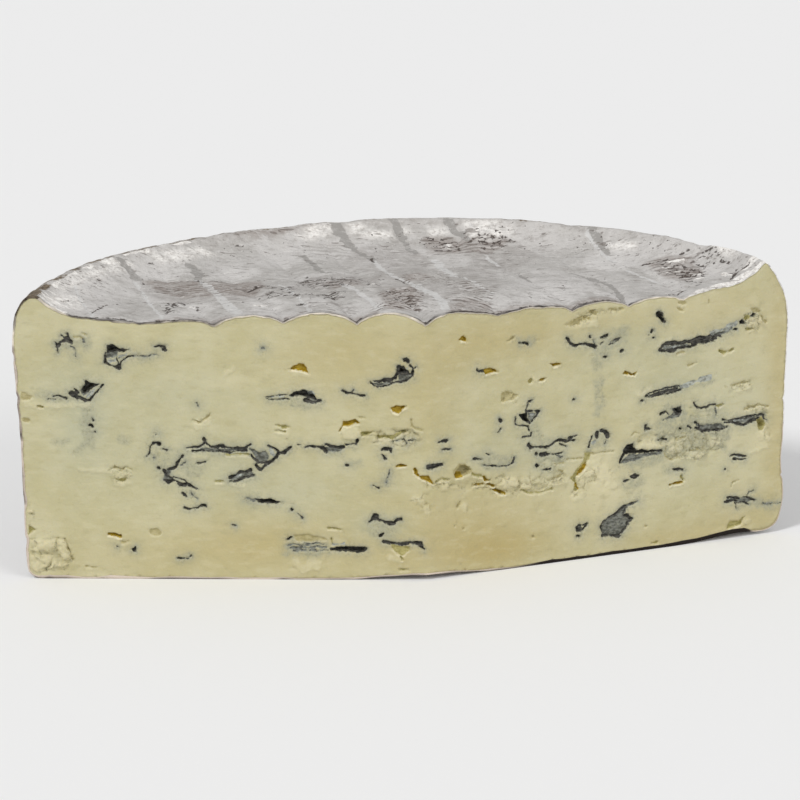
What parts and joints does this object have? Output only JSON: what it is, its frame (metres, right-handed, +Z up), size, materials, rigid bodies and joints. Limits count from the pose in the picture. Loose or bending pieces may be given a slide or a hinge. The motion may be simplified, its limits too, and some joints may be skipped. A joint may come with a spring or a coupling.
{
  "type": "blue cheese wedge",
  "caption": "Wide wedge cut from a small round soft blue cheese, with two flat cut faces, blue veins and holes, and a grey-white grooved rind with a raised rim.",
  "frame": {"origin": "on the surface it rests on, under the middle of the wedge's bounding box", "axes": "+X to the right along the left cut face, +Y from the cut faces towards the round side, +Z up"},
  "size_m": [0.1956, 0.103, 0.073],
  "materials": {
    "paste": "moist pale yellow cheese paste with blue-black mould veins, satin",
    "rind": "dry grey-white bloomy rind with brownish mottling, matte"
  },
  "bodies": {
    "root": {"cheese_wedge": "paste"}
  },
  "joints": []
}
